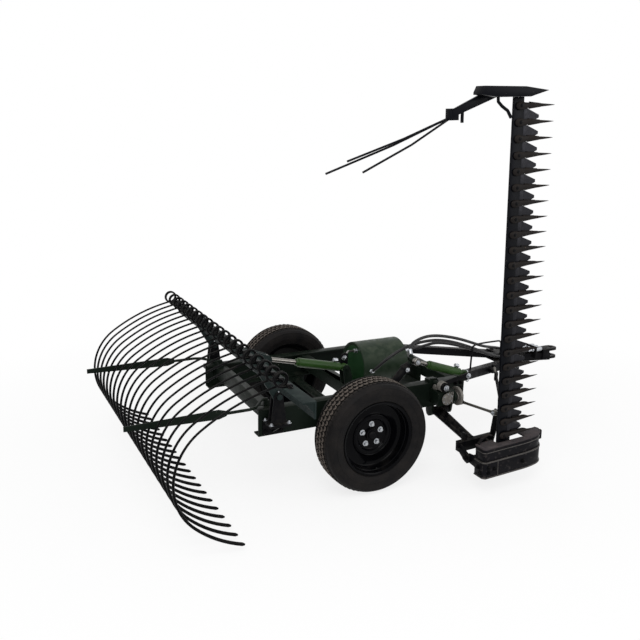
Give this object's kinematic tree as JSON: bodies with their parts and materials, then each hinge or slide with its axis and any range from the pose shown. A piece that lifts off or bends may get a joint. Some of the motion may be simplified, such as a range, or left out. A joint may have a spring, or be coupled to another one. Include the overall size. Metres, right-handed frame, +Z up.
{
  "type": "trailed sickle bar mower",
  "caption": "Trailed sickle bar mower with its bar folded upright, a hydraulic spring-tine dump rake, drawbar, oil tank and wheels.",
  "frame": {"origin": "centre of the whole machine's bounding box, hoses left out, on the ground under it", "axes": "+X forward to the hitch, +Y to the machine's left, +Z up"},
  "size_m": [3.06, 1.97, 2.0673],
  "materials": {
    "black_paint": "satin black paint",
    "rim_black": "gloss black paint",
    "tine_black": "black painted spring wire",
    "frame_green": "dark green paint",
    "tank_green": "gloss dark green paint on a steel shell full of oil",
    "barrel_green": "gloss green paint",
    "bright_rod": "hard chrome",
    "zinc_steel": "zinc plated",
    "knife_steel": "ground steel sections on a bright back",
    "cast_grey": "bare grey casting",
    "tyre_rubber": "dusty tyre rubber",
    "hose_rubber": "smooth black hose cover"
  },
  "bodies": {
    "chassis": {"side_rail_right": "frame_green", "side_rail_left": "frame_green", "front_crossmember": "frame_green", "middle_crossmember": "frame_green", "rear_crossmember": "frame_green", "axle_tube": "frame_green", "drawbar_left_beam": "black_paint", "drawbar_right_beam": "black_paint", "hitch_tongue": "black_paint", "oil_tank": "tank_green", "tank_tray": "frame_green", "rake_post_right": "black_paint", "rake_post_left": "black_paint", "gearbox": "frame_green", "hose_pressure": "hose_rubber", "hose_return": "hose_rubber", "hose_lift": "hose_rubber"},
    "right_wheel": {"tyre_right": "tyre_rubber", "rim_right": "rim_black", "hub_right": "zinc_steel"},
    "left_wheel": {"tyre_left": "tyre_rubber", "rim_left": "rim_black", "hub_left": "zinc_steel"},
    "rake": {"rake_beam": "black_paint", "rake_tine_01": "tine_black", "rake_tine_02": "tine_black", "rake_tine_03": "tine_black", "rake_tine_04": "tine_black", "rake_tine_05": "tine_black", "rake_tine_06": "tine_black", "rake_tine_07": "tine_black", "rake_tine_08": "tine_black", "rake_tine_09": "tine_black", "rake_tine_10": "tine_black", "rake_tine_11": "tine_black", "rake_tine_12": "tine_black", "rake_tine_13": "tine_black", "rake_tine_14": "tine_black", "rake_tine_15": "tine_black", "rake_tine_16": "tine_black", "rake_tine_17": "tine_black", "rake_tine_18": "tine_black", "rake_tine_19": "tine_black", "rake_tine_20": "tine_black"},
    "rake_barrel": {"rake_cylinder_barrel": "barrel_green"},
    "rake_rod": {"rake_cylinder_rod": "bright_rod"},
    "lever": {"lift_lever": "cast_grey"},
    "lift_rod": {"lift_cylinder_rod": "bright_rod"},
    "lift_barrel": {"lift_cylinder_barrel": "barrel_green"},
    "crank": {"crank_disc": "cast_grey"},
    "pitman": {"pitman_rod": "cast_grey"},
    "drag": {"drag_bar": "black_paint"},
    "bar": {"inner_shoe": "black_paint", "finger_bar": "black_paint", "outer_shoe": "black_paint", "swath_board": "black_paint"},
    "knife": {"knife": "knife_steel"},
    "turnbuckle": {"turnbuckle_link": "zinc_steel"},
    "stand": {"stand_leg": "black_paint"}
  },
  "joints": [
    {"name": "right_wheel_spin", "type": "hinge", "parent": "chassis", "child": "right_wheel", "pos_m": [-0.27, -0.465, 0.3062], "axis": [0, 1, 0], "continuous": true},
    {"name": "left_wheel_spin", "type": "hinge", "parent": "chassis", "child": "left_wheel", "pos_m": [-0.27, 0.655, 0.3062], "axis": [0, 1, 0], "continuous": true},
    {"name": "rake_lift", "type": "hinge", "parent": "chassis", "child": "rake", "pos_m": [-0.775, 0.095, 0.57], "axis": [0, 1, 0], "range_deg": [0, 45]},
    {"name": "rake_cylinder_swing", "type": "hinge", "parent": "chassis", "child": "rake_barrel", "pos_m": [-0.24, -0.105, 0.56], "axis": [0, 1, 0], "range_deg": [-9, 2]},
    {"name": "rake_rod_slide", "type": "slide", "parent": "rake_barrel", "child": "rake_rod", "axis": [-0.9742, 0, 0.2256], "range_m": [-0.07, 0.01]},
    {"name": "lift_lever_swing", "type": "hinge", "parent": "chassis", "child": "lever", "pos_m": [0.22, -0.41, 0.48], "axis": [0, 1, 0], "range_deg": [0, 14]},
    {"name": "lift_rod_swing", "type": "hinge", "parent": "chassis", "child": "lift_rod", "pos_m": [0.07, -0.355, 0.628], "axis": [0, 1, 0], "range_deg": [-1, 7]},
    {"name": "lift_barrel_slide", "type": "slide", "parent": "lift_rod", "child": "lift_barrel", "axis": [0.9461, 0, -0.324], "range_m": [-0.003, 0.023]},
    {"name": "crank_spin", "type": "hinge", "parent": "chassis", "child": "crank", "pos_m": [0.34, -0.385, 0.4], "axis": [1, 0, 0], "continuous": true},
    {"name": "pitman_swing", "type": "hinge", "parent": "crank", "child": "pitman", "pos_m": [0.365, -0.385, 0.362], "axis": [1, 0, 0], "continuous": true},
    {"name": "drag_bar_float", "type": "hinge", "parent": "chassis", "child": "drag", "pos_m": [0.29, -0.29, 0.29], "axis": [1, 0, 0], "range_deg": [0, 12]},
    {"name": "bar_fold", "type": "hinge", "parent": "drag", "child": "bar", "pos_m": [0.305, -0.665, 0.16], "axis": [0.999, 0, 0.0436], "range_deg": [0, 90]},
    {"name": "knife_stroke", "type": "slide", "parent": "bar", "child": "knife", "axis": [-0.0436, 0, 0.999], "range_m": [-0.038, 0.038]},
    {"name": "turnbuckle_swing", "type": "hinge", "parent": "chassis", "child": "turnbuckle", "pos_m": [0.78, -0.167, 0.455], "axis": [0.8235, -0.5673, 0], "range_deg": [-1, 8]},
    {"name": "stand_leg_slide", "type": "slide", "parent": "chassis", "child": "stand", "axis": [0, 0, 1], "range_m": [0, 0.25]}
  ],
  "couplings": [
    {"joint": "rake_cylinder_swing", "follows": "rake_lift", "ratio": -0.17452},
    {"joint": "rake_rod_slide", "follows": "rake_lift", "m_per_rad": -0.08145},
    {"joint": "lift_rod_swing", "follows": "lift_lever_swing", "ratio": 0.45818},
    {"joint": "lift_barrel_slide", "follows": "lift_lever_swing", "m_per_rad": 0.08064},
    {"joint": "pitman_swing", "follows": "crank_spin", "ratio": -1},
    {"joint": "turnbuckle_swing", "follows": "drag_bar_float", "ratio": 0.6}
  ]
}
